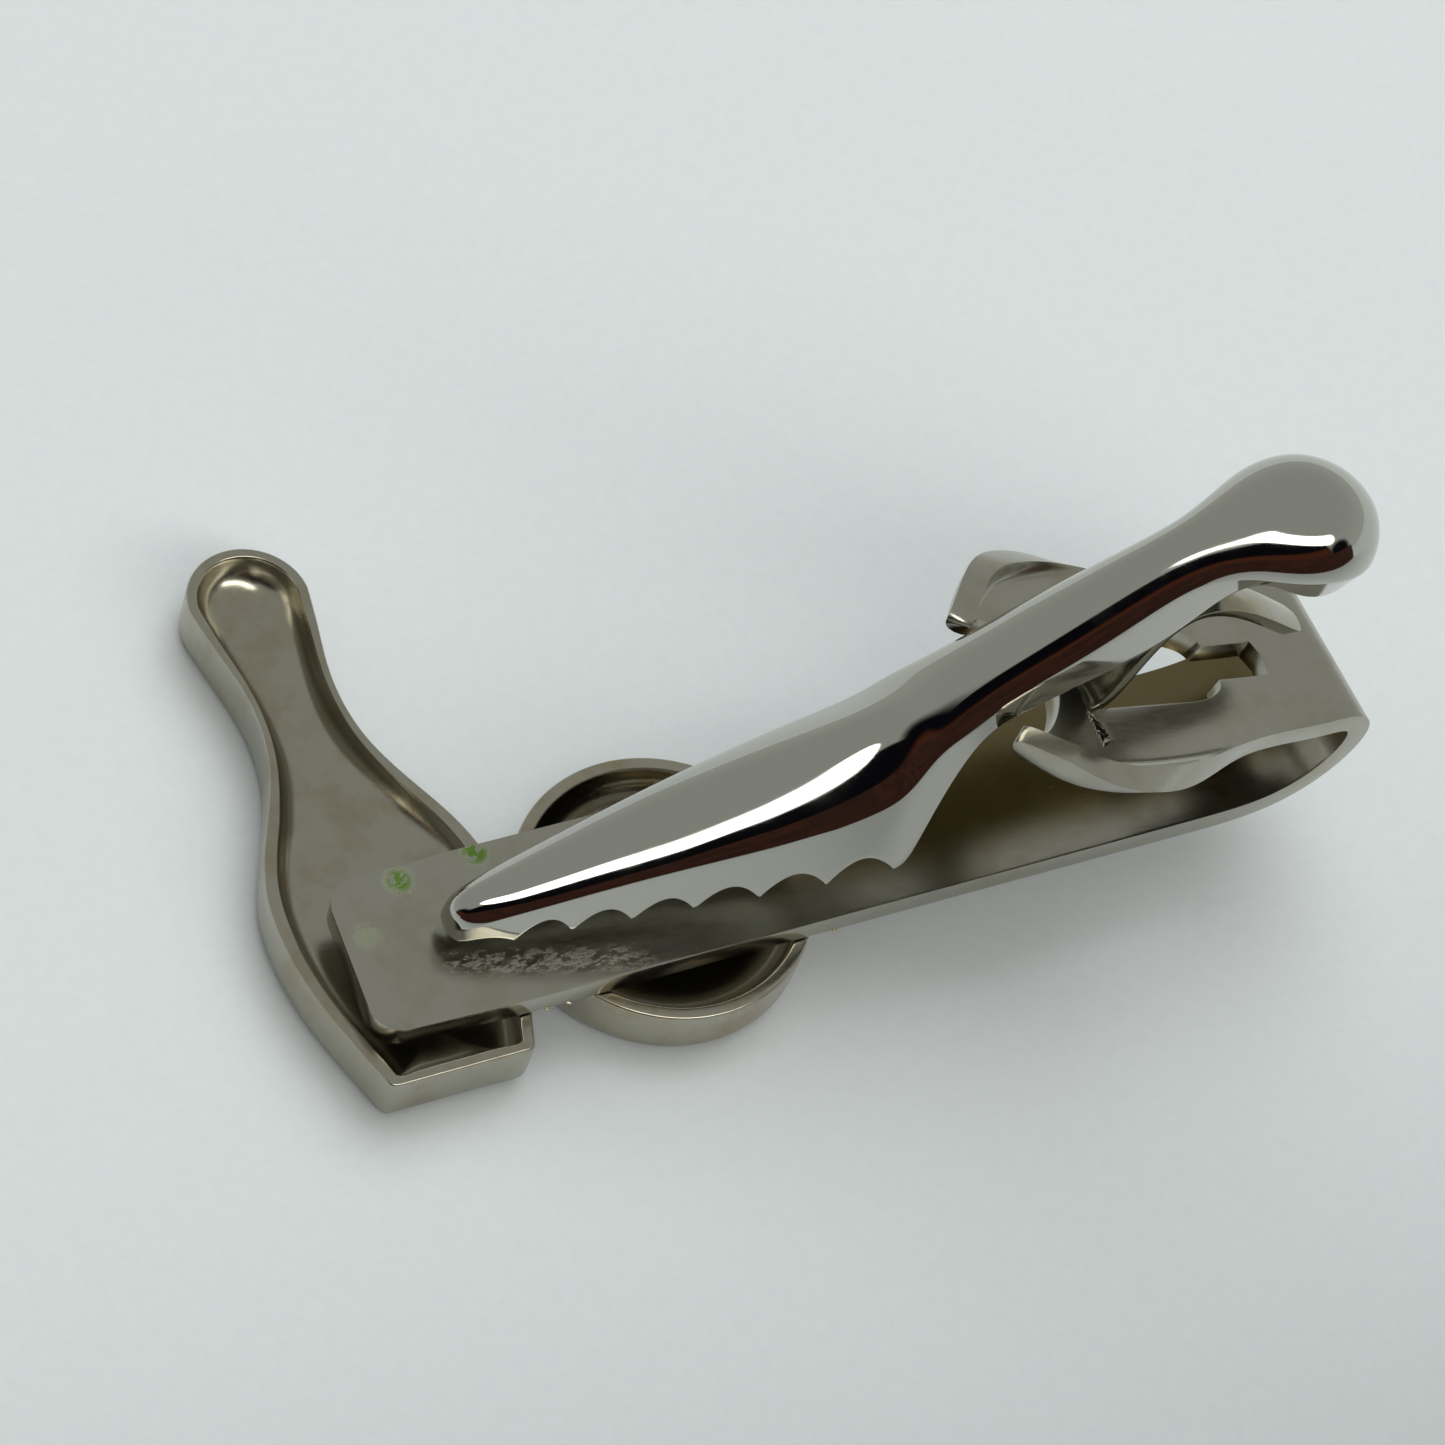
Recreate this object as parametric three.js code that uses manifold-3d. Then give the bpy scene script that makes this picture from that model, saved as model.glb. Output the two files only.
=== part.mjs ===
import * as THREE from "three";
import { mergeVertices } from "three/addons/utils/BufferGeometryUtils.js";
import Module from "manifold-3d";

const wasm = await Module();
wasm.setup();

// Millimetres, +Z up. The clip lies face down: the two ornaments rest on Z = 0,
// their open backs face up, and the folded strip runs along +X across them.

// Ornament shells
const SHELL_DEPTH = 2.4;
const SHELL_WALL = 0.55;
const SHELL_FRONT = 1.0;
const BALL_RADIUS = 5.5;
const BALL_STEPS = 48;
const PIN_AXIS_X = -9.8;
const PIN_BASE_Y = -4.7;
const PIN_BASE_BULGE = 0.13;
const PIN_HEAD_Y = 15.5;
const PIN_HEAD_RADIUS = 2.3;
const PIN_SPINE_LOW_Y = -2.3;
// Evenly spaced from the base to the middle of the head.
const PIN_HALF_WIDTHS = [
  [2.75], [3.3], [3.83], [4.16], [4.25], [4.1], [3.45], [2.55], [1.85], [1.6], [1.68], [2.05], [2.3],
];

// Folded strip
const STRIP_CENTRE_Y = -0.28;
const STRIP_HALF_WIDTH = 3.22;
const STRIP_THICKNESS = 0.92;
const STRIP_LEFT_X = -12.4;
const LEFT_END_TAPER = 0.16;
const CORNER_RADIUS = 1.1;
const SOLDER_FILM = 0.1;
const STRIP_Z = SHELL_DEPTH + SOLDER_FILM;
const EAR_THICKNESS = 0.75;
const WINDOW_START_X = 14.2;
const WINDOW_END_X = 23.5;
const WINDOW_HALF_WIDTH = 1.65;
const WINDOW_TAIL_HALF_WIDTH = 0.75;
const GAP_END_X = 13.0;
const GAP_DEPTH = 1.85;
const GAP_SHARE = 0.56;
const EAR_TIP_X = 10.1;

// Spring tongue
const TONGUE_THICKNESS = 0.6;
const TONGUE_CROWN = 0.1;

// Jaw lever
const LEVER_WALL = 0.45;
const TOOTH_TIPS_X = [-8.85, -6.95, -4.95, -2.85, -0.65, 1.65, 4.05, 6.55];
const TOOTH_DEPTH = 1.05;
const NOSE_TOOTH_DEPTH = 0.35;

// colour, roughness
const NICKEL = {
  folded_strip: [0xb9b8ac, 0.25],
  spring_tongue: [0xb2b1a6, 0.25],
  jaw_lever: [0xd2d3d1, 0.08],
  bowling_pin_shell: [0xbdbab0, 0.3],
  bowling_ball_shell: [0xc2c0b6, 0.3],
  solder: [0xa9a89f, 0.35],
};

// A smooth curve led by a row of stations, read at a share from 0 to 1 of its length.
function flow(stations, share) {
  const last = stations.length - 1;
  const at = THREE.MathUtils.clamp(share, 0, 1) * last;
  const i = Math.min(Math.floor(at), last - 1);
  const f = at - i;
  const beyond = (a, b) => a.map((value, c) => 2 * value - b[c]);
  const station = (k) => {
    if (k < 0) return beyond(stations[0], stations[1]);
    if (k > last) return beyond(stations[last], stations[last - 1]);
    return stations[k];
  };
  const weights = [
    (1 - f) ** 3 / 6, (3 * f ** 3 - 6 * f ** 2 + 4) / 6,
    (-3 * f ** 3 + 3 * f ** 2 + 3 * f + 1) / 6, f ** 3 / 6,
  ];
  const near = [-1, 0, 1, 2].map((k) => station(i + k));
  return stations[0].map((_, c) => near.reduce((sum, s, k) => sum + weights[k] * s[c], 0));
}

function solidFrom(points, faces) {
  const raw = new THREE.BufferGeometry();
  const flat = new Float32Array(points.length * 3);
  points.forEach((p, i) => flat.set([p.x, p.y, p.z], 3 * i));
  raw.setAttribute("position", new THREE.BufferAttribute(flat, 3));
  raw.setIndex(faces);
  const merged = mergeVertices(raw, 1e-4);
  const index = Array.from(merged.index.array);
  const kept = [];
  for (let i = 0; i < index.length; i += 3) {
    const [a, b, c] = index.slice(i, i + 3);
    if (a !== b && b !== c && c !== a) kept.push(a, b, c);
  }
  const mesh = new wasm.Mesh({
    numProp: 3,
    vertProperties: new Float32Array(merged.attributes.position.array),
    triVerts: new Uint32Array(kept),
  });
  return new wasm.Manifold(mesh);
}

// A bent sheet: two grids of points of the same size, joined round their edge.
function sheetSolid(top, under) {
  const rows = top.length;
  const columns = top[0].length;
  const upper = (r, c) => r * columns + c;
  const lower = (r, c) => rows * columns + r * columns + c;
  const faces = [];
  const quad = (a, b, c, d) => faces.push(a, b, c, a, c, d);
  const e = columns - 1;
  for (let r = 0; r < rows - 1; r += 1) {
    for (let c = 0; c < e; c += 1) {
      quad(upper(r, c), upper(r + 1, c), upper(r + 1, c + 1), upper(r, c + 1));
      quad(lower(r, c), lower(r, c + 1), lower(r + 1, c + 1), lower(r + 1, c));
    }
    quad(upper(r, 0), lower(r, 0), lower(r + 1, 0), upper(r + 1, 0));
    quad(upper(r, e), upper(r + 1, e), lower(r + 1, e), lower(r, e));
  }
  const end = rows - 1;
  for (let c = 0; c < e; c += 1) {
    quad(upper(0, c), upper(0, c + 1), lower(0, c + 1), lower(0, c));
    quad(upper(end, c), lower(end, c), lower(end, c + 1), upper(end, c + 1));
  }
  return solidFrom([...top.flat(), ...under.flat()], faces);
}

// Closed rings of equal length stacked into one skin; the end rings have no area.
function ringSolid(rings) {
  const count = rings[0].length;
  const faces = [];
  for (let r = 0; r < rings.length - 1; r += 1) {
    for (let i = 0; i < count; i += 1) {
      const a = r * count + i;
      const b = r * count + ((i + 1) % count);
      faces.push(a, b, b + count, a, b + count, a + count);
    }
  }
  return solidFrom(rings.flat(), faces);
}

function meshOf(solid, name, [colour, roughness]) {
  const data = solid.getMesh();
  const geometry = new THREE.BufferGeometry();
  geometry.setAttribute("position", new THREE.BufferAttribute(data.vertProperties, 3));
  geometry.setIndex(new THREE.BufferAttribute(data.triVerts, 1));
  geometry.computeVertexNormals();
  const material = new THREE.MeshStandardMaterial({ color: colour, metalness: 1, roughness });
  material.name = `${name}_metal`;
  const mesh = new THREE.Mesh(geometry, material);
  mesh.name = name;
  return mesh;
}

// ---- Ornament shells: a plan outline pulled in towards its spine while it drops,
// then out again up the dished back.

// [inset from the outline, height], up the outside and down the inside
const SHELL_SKIN = [
  [0.6, 0.0], [0.34, 0.08], [0.14, 0.26], [0.03, 0.5], [0.0, 0.8], [0.0, SHELL_DEPTH],
  [SHELL_WALL, SHELL_DEPTH], [SHELL_WALL + 0.02, 1.9], [0.8, 1.5], [1.2, 1.2], [1.7, 1.05],
];
const SPINE_STANDOFF = 0.8;

function shellSolid(outline, spine) {
  const ring = ([inset, height]) => outline.map((p, i) => {
    const toSpine = new THREE.Vector2().subVectors(spine[i], p);
    const reach = Math.min(inset, SPINE_STANDOFF * toSpine.length());
    const at = p.clone().addScaledVector(toSpine.normalize(), reach);
    return new THREE.Vector3(at.x, at.y, height);
  });
  const onSpine = (height) => spine.map((p) => new THREE.Vector3(p.x, p.y, height));
  return ringSolid([onSpine(0), ...SHELL_SKIN.map(ring), onSpine(SHELL_FRONT)]);
}

function ballShell() {
  const outline = [];
  for (let i = 0; i < BALL_STEPS; i += 1) {
    const a = (2 * Math.PI * i) / BALL_STEPS;
    outline.push(new THREE.Vector2(BALL_RADIUS * Math.cos(a), BALL_RADIUS * Math.sin(a)));
  }
  const centre = outline.map(() => new THREE.Vector2(0, 0));
  return meshOf(shellSolid(outline, centre), "bowling_ball_shell", NICKEL.bowling_ball_shell);
}

function pinHalfWidth(y) {
  return flow(PIN_HALF_WIDTHS, (y - PIN_BASE_Y) / (PIN_HEAD_Y - PIN_BASE_Y))[0];
}

function pinShell() {
  const right = [];
  const steps = 30;
  for (let i = 0; i <= steps; i += 1) {
    const y = THREE.MathUtils.lerp(PIN_BASE_Y, PIN_HEAD_Y, i / steps);
    right.push([pinHalfWidth(y), y]);
  }
  const headSteps = 7;
  for (let i = 1; i <= headSteps; i += 1) {
    const a = (Math.PI / 2) * (i / headSteps);
    const y = PIN_HEAD_Y + PIN_HEAD_RADIUS * Math.sin(a);
    right.push([PIN_HEAD_RADIUS * Math.cos(a), y]);
  }
  const left = right.slice(0, -1).reverse().map(([x, y]) => [-x, y]);
  const base = [-1.8, -0.6, 0.6, 1.8].map((x) => [x, PIN_BASE_Y - PIN_BASE_BULGE]);
  const plan = [...right, ...left, ...base];
  const outline = plan.map(([x, y]) => new THREE.Vector2(PIN_AXIS_X + x, y));
  const spine = plan.map(([, y]) => new THREE.Vector2(
    PIN_AXIS_X, THREE.MathUtils.clamp(y, PIN_SPINE_LOW_Y, PIN_HEAD_Y),
  ));
  return meshOf(shellSolid(outline, spine), "bowling_pin_shell", NICKEL.bowling_pin_shell);
}

// ---- Folded strip: bar, hairpin and the sloping leaf with two curled ears.

// [X, height] of the middle of the sheet; the leaf starts at row FOLD_END.
const STRIP_LINE = [
  [-12.4, 0.46], [-4.0, 0.46], [5.0, 0.46], [14.0, 0.46], [20.0, 0.46], [22.2, 0.5],
  [23.7, 0.9], [24.9, 1.8], [25.7, 3.1], [25.95, 4.4], [25.5, 5.25], [24.3, 5.25],
  [22.7, 5.35], [20.6, 5.85], [18.2, 6.55], [15.8, 7.26], [13.4, 7.93], [11.5, 8.46], [9.9, 8.9],
];
const BAR_END = 4;
const FOLD_END = 12;
const LEAF_START_X = 22.7;

// [half width, curl angle in degrees, curl radius, straight wall above the curl], evenly
// spaced from the fold to the tips
const EARS = [
  [3.22, 0, 1.5, 0.0], [3.3, 2, 1.5, 0.0], [3.6, 8, 1.5, 0.02], [4.1, 20, 1.4, 0.05],
  [4.58, 34, 1.3, 0.1], [4.88, 48, 1.2, 0.18], [4.98, 60, 1.1, 0.28], [4.85, 70, 1.0, 0.4],
  [4.3, 80, 0.9, 0.55], [2.45, 88, 0.7, 0.5],
];
// Shares of the way from the strip's middle to its edge.
const COLUMNS = [0, 0.15, 0.3, 0.4, 0.48, 0.53, 0.57, 0.64, 0.72, 0.8, 0.88, 0.94, 1];

// Where the leaf ends in X: the round gap between the ears, then the rounded ear tip.
function earEnd(f) {
  if (f < GAP_SHARE) return GAP_END_X - GAP_DEPTH + GAP_DEPTH * Math.sqrt(1 - (f / GAP_SHARE) ** 2);
  const out = (f - GAP_SHARE) / (1 - GAP_SHARE);
  const inner = GAP_END_X - GAP_DEPTH;
  const tip = inner - (inner - EAR_TIP_X) * Math.sin(Math.min(1, out / 0.7) * (Math.PI / 2));
  return tip + 0.45 * Math.max(0, (out - 0.7) / 0.3) ** 2;
}

function onStripLine(index) {
  const spans = STRIP_LINE.length - 1;
  const [x, z] = flow(STRIP_LINE, index / spans);
  const ahead = flow(STRIP_LINE, (index + 0.01) / spans);
  const behind = flow(STRIP_LINE, (index - 0.01) / spans);
  const along = new THREE.Vector2(ahead[0] - behind[0], ahead[1] - behind[1]).normalize();
  return { x, z, inward: new THREE.Vector3(-along.y, 0, along.x) };
}

function barPoint(index, side, f) {
  const { x, z, inward } = onStripLine(index);
  const inFromEnd = Math.max(0, CORNER_RADIUS - (x - STRIP_LEFT_X));
  const corner = CORNER_RADIUS - Math.sqrt(CORNER_RADIUS ** 2 - inFromEnd ** 2);
  const taper = LEFT_END_TAPER * Math.max(0, 1 - (x - STRIP_LEFT_X) / 5);
  const half = STRIP_HALF_WIDTH - corner - taper;
  return { at: new THREE.Vector3(x, STRIP_CENTRE_Y + side * half * f, STRIP_Z + z), inward };
}

// A point of the leaf: flat floor, then an arc, then a short straight wall.
function leafPoint(index, side, f) {
  const { x, z, inward } = onStripLine(index);
  const share = (LEAF_START_X - x) / (LEAF_START_X - EAR_TIP_X);
  const [half, angle, radius, wall] = flow(EARS, share);
  const arc = THREE.MathUtils.degToRad(Math.max(angle, 0.6));
  const floor = half - radius * Math.sin(arc) - wall * Math.cos(arc);
  const run = (floor + radius * arc + wall) * f;
  const turned = THREE.MathUtils.clamp((run - floor) / radius, 0, arc);
  const over = Math.max(0, run - floor - radius * arc);
  const out = Math.min(run, floor) + radius * Math.sin(turned) + over * Math.cos(arc);
  const rise = radius * (1 - Math.cos(turned)) + over * Math.sin(arc);
  const at = new THREE.Vector3(x, STRIP_CENTRE_Y + side * out, STRIP_Z + z);
  at.addScaledVector(inward, -rise);
  const tilted = inward.clone().multiplyScalar(Math.cos(turned));
  tilted.y = side * Math.sin(turned);
  return { at, inward: tilted };
}

function leafEndIndex(x) {
  let low = FOLD_END;
  let high = STRIP_LINE.length - 1;
  for (let i = 0; i < 24; i += 1) {
    const middle = (low + high) / 2;
    if (onStripLine(middle).x > x) low = middle;
    else high = middle;
  }
  return low;
}

function foldedStrip() {
  // A few rows along the straight bar, more at its round corners and round the hairpin.
  const stops = [0, 0.03, 0.09, 0.18, 0.3, 0.6, 1.3, 2.6, BAR_END];
  const bends = 26;
  for (let i = 1; i <= bends; i += 1) stops.push(BAR_END + ((FOLD_END - BAR_END) * i) / bends);
  const columns = [
    ...COLUMNS.slice(1).reverse().map((f) => [-1, f]), ...COLUMNS.map((f) => [1, f]),
  ];
  const rows = stops.map((index) => columns.map(([side, f]) => barPoint(index, side, f)));
  const leafSteps = 26;
  for (let i = 1; i <= leafSteps; i += 1) {
    rows.push(columns.map(([side, f]) => {
      const end = leafEndIndex(earEnd(f));
      return leafPoint(FOLD_END + ((end - FOLD_END) * i) / leafSteps, side, f);
    }));
  }
  const skin = (sign) => rows.map((row, r) => {
    const thinning = THREE.MathUtils.clamp((r - stops.length) / (leafSteps / 2), 0, 1);
    const half = THREE.MathUtils.lerp(STRIP_THICKNESS, EAR_THICKNESS, thinning) / 2;
    return row.map(({ at, inward }) => at.clone().addScaledVector(inward, sign * half));
  });
  const sheet = sheetSolid(skin(1), skin(-1));
  // Window: a wide part and a narrower rounded tail.
  const side = [
    [WINDOW_START_X, 1.5], [17.2, WINDOW_HALF_WIDTH], [18.4, 1.6], [19.3, 1.4], [19.9, 1.1],
    [20.2, WINDOW_TAIL_HALF_WIDTH], [WINDOW_END_X - 0.6, WINDOW_TAIL_HALF_WIDTH],
    [WINDOW_END_X - 0.2, 0.62], [WINDOW_END_X, 0.25],
  ];
  const near = side.map(([x, half]) => [x, STRIP_CENTRE_Y - half]);
  const far = side.reverse().map(([x, half]) => [x, STRIP_CENTRE_Y + half]);
  const punch = wasm.Manifold.extrude([[...near, ...far]], 5.9).translate([0, 0, STRIP_Z + 3.6]);
  return meshOf(sheet.subtract(punch), "folded_strip", NICKEL.folded_strip);
}

// ---- Spring tongue struck up from the window, bearing on the lever from below.

// [X, height, half width]
const TONGUE_LINE = [
  [14.32, 8.15, 1.42], [14.65, 9.1, 1.42], [15.15, 10.15, 1.38], [15.9, 10.9, 1.3],
  [16.9, 11.2, 1.0], [18.1, 11.1, 0.7], [19.4, 10.7, 0.57], [20.8, 9.85, 0.55],
  [22.0, 8.85, 0.54], [23.2, 7.8, 0.48],
];

function springTongue() {
  const steps = 24;
  const acrossSteps = 3;
  const skin = (sign) => {
    const rows = [];
    for (let i = 0; i <= steps; i += 1) {
      const [x, z, half] = flow(TONGUE_LINE, i / steps);
      const ahead = flow(TONGUE_LINE, i / steps + 0.01);
      const behind = flow(TONGUE_LINE, i / steps - 0.01);
      const along = new THREE.Vector2(ahead[0] - behind[0], ahead[1] - behind[1]).normalize();
      const row = [];
      for (let c = -acrossSteps; c <= acrossSteps; c += 1) {
        const out = c / acrossSteps;
        const lift = sign * (TONGUE_THICKNESS / 2) + TONGUE_CROWN * (1 - out ** 2);
        row.push(new THREE.Vector3(
          x - along.y * lift, STRIP_CENTRE_Y + half * out, STRIP_Z + z + along.x * lift,
        ));
      }
      rows.push(row);
    }
    return rows;
  };
  return meshOf(sheetSolid(skin(1), skin(-1)), "spring_tongue", NICKEL.spring_tongue);
}

// ---- Jaw lever: one drawn channel, open below, toothed along both skirts.

// [ridge X, ridge height, rim X, rim height, half width, height of the round top,
// how far the skirts tuck in]
const LEVER_STATIONS = [
  [-9.08, 2.05, -9.08, 1.72, 0.0, 0.3, 0.0], [-9.06, 2.65, -9.05, 1.72, 0.48, 0.7, 0.0],
  [-8.7, 3.15, -8.75, 1.7, 0.82, 1.0, 0.0], [-7.9, 3.55, -8.1, 1.6, 1.0, 1.1, 0.0],
  [-6.7, 3.97, -6.95, 1.4, 1.14, 1.2, 0.0], [-5.3, 4.45, -5.6, 1.48, 1.33, 1.32, 0.0],
  [-3.9, 4.95, -4.2, 1.58, 1.52, 1.45, 0.0], [-2.5, 5.42, -2.85, 1.68, 1.71, 1.6, 0.0],
  [-1.1, 5.88, -1.45, 1.78, 1.9, 1.8, 0.0], [0.3, 6.37, 0.0, 1.88, 2.1, 2.0, 0.0],
  [1.7, 6.86, 1.4, 1.98, 2.3, 2.2, 0.0], [3.1, 7.36, 2.8, 2.1, 2.5, 2.38, 0.0],
  [4.5, 7.88, 4.2, 2.25, 2.68, 2.5, 0.0], [5.6, 8.35, 5.4, 2.4, 2.82, 2.5, 0.0],
  [6.5, 8.82, 6.5, 2.5, 2.9, 2.4, 0.0], [7.1, 9.18, 7.15, 2.75, 2.86, 2.3, 0.0],
  [7.6, 9.52, 7.75, 4.2, 2.55, 2.15, 0.0], [8.1, 9.9, 8.4, 6.4, 2.2, 2.0, 0.0],
  [8.7, 10.4, 9.1, 8.5, 1.95, 1.85, 0.0], [9.5, 11.02, 9.95, 9.3, 1.8, 1.65, 0.0],
  [10.4, 11.68, 10.9, 9.5, 1.74, 1.6, 0.0], [11.5, 12.45, 12.1, 10.1, 1.72, 1.6, 0.0],
  [12.8, 13.33, 13.7, 10.7, 1.67, 1.6, 0.0], [14.1, 14.2, 15.3, 11.1, 1.56, 1.5, 0.02],
  [15.3, 14.95, 16.6, 12.0, 1.46, 1.4, 0.05], [16.4, 15.52, 17.6, 13.1, 1.48, 1.35, 0.1],
  [17.4, 16.0, 18.4, 13.85, 1.72, 1.45, 0.15], [18.4, 16.48, 19.2, 13.95, 2.08, 1.8, 0.2],
  [19.4, 16.85, 20.0, 13.55, 2.4, 2.1, 0.22], [20.5, 17.05, 20.9, 13.0, 2.6, 2.35, 0.24],
  [21.7, 16.95, 21.9, 12.65, 2.6, 2.45, 0.24], [22.9, 16.35, 22.9, 12.65, 2.25, 2.2, 0.22],
  [23.8, 15.45, 23.7, 12.95, 1.6, 1.5, 0.15], [24.25, 14.6, 24.15, 13.3, 0.75, 0.8, 0.05],
  [24.28, 14.2, 24.22, 13.6, 0.0, 0.3, 0.0],
];
const LEVER_STEPS = 110;

// How far the rim is cut back at x, between one tooth's tip and the next.
function toothLift(x) {
  const next = TOOTH_TIPS_X.findIndex((tip) => x < tip);
  if (next < 1) return 0;
  const [start, end] = [TOOTH_TIPS_X[next - 1], TOOTH_TIPS_X[next]];
  const depth = next === 1 ? NOSE_TOOTH_DEPTH : TOOTH_DEPTH;
  return depth * Math.sin((Math.PI * (x - start)) / (end - start));
}

function leverSection(share, inset) {
  const [ridgeX, ridgeZ, rimX, rimZ, halfWidth, arch, tuck] = flow(LEVER_STATIONS, share);
  const atEnd = share === 0 || share === 1;
  const up = new THREE.Vector2(ridgeX - rimX, ridgeZ - rimZ);
  const depth = up.length();
  up.normalize();
  const half = atEnd ? 0 : Math.max(0.08, halfWidth - inset);
  const rise = Math.max(0.05, Math.min(arch, depth - 0.05) - inset * 0.6);
  const crown = Math.max(depth - inset - rise, 0.02);
  const lift = Math.min(toothLift(rimX), 0.8 * crown);
  const skirt = [[half * (1 - tuck), lift], [half * (1 - tuck / 4), (lift + crown) / 2]];
  const top = [];
  for (let i = 0; i <= 12; i += 1) {
    const a = Math.PI * (1 - i / 12);
    top.push([half * Math.cos(a), crown + rise * Math.sin(a)]);
  }
  const section = [...skirt.map(([y, d]) => [-y, d]), ...top, ...skirt.reverse()];
  return section.map(([y, d]) => new THREE.Vector3(
    rimX + up.x * d, STRIP_CENTRE_Y + y, STRIP_Z + rimZ + up.y * d,
  ));
}

function jawLever() {
  const shares = Array.from({ length: LEVER_STEPS + 1 }, (_, i) => i / LEVER_STEPS);
  const outside = shares.map((share) => leverSection(share, 0));
  const nose = outside[0][0].x;
  const tail = outside[LEVER_STEPS][0].x;
  // The inner skin is drawn in from the two closed ends as well.
  const inside = shares.map((share) => {
    const section = leverSection(share, LEVER_WALL);
    section.forEach((p) => {
      p.x = THREE.MathUtils.mapLinear(p.x, nose, tail, nose + LEVER_WALL, tail - LEVER_WALL);
    });
    return section;
  });
  return meshOf(sheetSolid(outside, inside), "jaw_lever", NICKEL.jaw_lever);
}

// ---- Solder joints: thin pads between the bar and the ornaments' rims.

const SOLDER_HALF_WIDTH = 0.4;
const SOLDER_HALF_LENGTH = 3.0;
const SOLDER_GAP = 0.01;
const RIM_MIDDLE = SHELL_WALL / 2;

function solderPad(name, rimX) {
  const steps = 10;
  const line = Array.from({ length: steps + 1 }, (_, i) => {
    const y = STRIP_CENTRE_Y + SOLDER_HALF_LENGTH * ((2 * i) / steps - 1);
    return new THREE.Vector2(rimX(y), y);
  });
  const skin = (z) => line.map((p, i) => {
    const along = line[Math.min(i + 1, steps)].clone().sub(line[Math.max(i - 1, 0)]).normalize();
    return [-SOLDER_HALF_WIDTH, SOLDER_HALF_WIDTH].map(
      (out) => new THREE.Vector3(p.x - along.y * out, p.y + along.x * out, z),
    );
  });
  const pad = sheetSolid(skin(STRIP_Z - SOLDER_GAP), skin(SHELL_DEPTH + SOLDER_GAP));
  return meshOf(pad, name, NICKEL.solder);
}

function onBallRim(side) {
  return (y) => side * Math.sqrt((BALL_RADIUS - RIM_MIDDLE) ** 2 - y ** 2);
}

const group = new THREE.Group();
group.name = "bowling_tie_clip";
group.add(
  foldedStrip(),
  springTongue(),
  jawLever(),
  pinShell(),
  ballShell(),
  solderPad("solder_joint_pin", (y) => PIN_AXIS_X + pinHalfWidth(y) - RIM_MIDDLE),
  solderPad("solder_joint_ball_left", onBallRim(-1)),
  solderPad("solder_joint_ball_right", onBallRim(1)),
);

export default group;
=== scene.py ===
import math

import bpy
from mathutils import Matrix, Vector


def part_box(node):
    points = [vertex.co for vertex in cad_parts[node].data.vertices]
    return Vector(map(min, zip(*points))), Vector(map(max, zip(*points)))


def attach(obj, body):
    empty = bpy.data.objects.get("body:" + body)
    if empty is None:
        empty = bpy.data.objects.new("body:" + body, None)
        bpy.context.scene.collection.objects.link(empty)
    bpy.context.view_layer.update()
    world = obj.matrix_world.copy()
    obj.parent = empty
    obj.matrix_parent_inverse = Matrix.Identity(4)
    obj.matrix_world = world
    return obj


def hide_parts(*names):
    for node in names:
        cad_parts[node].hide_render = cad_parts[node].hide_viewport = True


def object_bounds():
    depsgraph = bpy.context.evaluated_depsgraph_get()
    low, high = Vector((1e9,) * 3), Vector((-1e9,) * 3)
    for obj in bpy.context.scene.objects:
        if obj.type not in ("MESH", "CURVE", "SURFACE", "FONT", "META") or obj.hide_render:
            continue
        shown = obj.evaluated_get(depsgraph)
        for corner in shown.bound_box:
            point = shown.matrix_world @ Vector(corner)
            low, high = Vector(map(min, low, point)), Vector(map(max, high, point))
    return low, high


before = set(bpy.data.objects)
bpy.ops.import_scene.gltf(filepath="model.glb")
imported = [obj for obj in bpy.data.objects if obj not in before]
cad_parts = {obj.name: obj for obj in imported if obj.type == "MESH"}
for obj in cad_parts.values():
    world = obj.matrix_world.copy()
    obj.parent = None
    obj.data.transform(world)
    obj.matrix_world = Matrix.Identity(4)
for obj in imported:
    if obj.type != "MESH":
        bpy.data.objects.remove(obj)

# ---------------------------------------------------------------------------
# The table, the camera and the light. The clip lies on its ornaments on a pale
# matt sheet under one wide soft lamp. The polished metal mirrors a pale room, a
# row of bright windows, and the dark clothing and sleeve of whoever stands close.
# ---------------------------------------------------------------------------

MM = 0.001

cad_low, cad_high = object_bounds()
cad_low, cad_high = Vector(cad_low), Vector(cad_high)
aim = (cad_low + cad_high) / 2 + Vector((-3.7, -3.1, -2.3)) * MM

around = math.radians(-42.6)
above = math.radians(52.9)
lean = math.radians(22.2)
reach = 175.7 * MM
backward = Vector((
    math.sin(around) * math.cos(above), -math.cos(around) * math.cos(above), math.sin(above),
))
level = Vector((math.cos(around), math.sin(around), 0))
upright = backward.cross(level)
right = level * math.cos(lean) + upright * math.sin(lean)
up = upright * math.cos(lean) - level * math.sin(lean)

bpy.ops.object.select_all(action="DESELECT")
bpy.ops.object.camera_add()
camera = bpy.context.object
camera.name = "view_camera"
camera.data.sensor_width = 36
camera.data.lens = 124.6
camera.data.clip_start = 0.01
camera.matrix_world = (
    Matrix.Translation(aim + backward * reach) @ Matrix((right, up, backward)).transposed().to_4x4()
)
bpy.context.scene.camera = camera
bpy.context.scene.view_settings.view_transform = "Standard"

bpy.ops.mesh.primitive_plane_add(size=3.0, location=(0, 0, cad_low.z))
table = bpy.context.object
table.name = "table_top"


bpy.ops.object.light_add(
    type="AREA", location=aim + Vector((0.35, 0.45, 1.0)).normalized() * 0.9,
)
ceiling = bpy.context.object
ceiling.name = "ceiling_light"
ceiling.rotation_euler = (ceiling.location - aim).to_track_quat("Z", "Y").to_euler()
ceiling.data.size = 0.8
ceiling.data.energy = 5.5
ceiling.data.color = (0.97, 1.0, 1.0)
ceiling.visible_glossy = False

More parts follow.
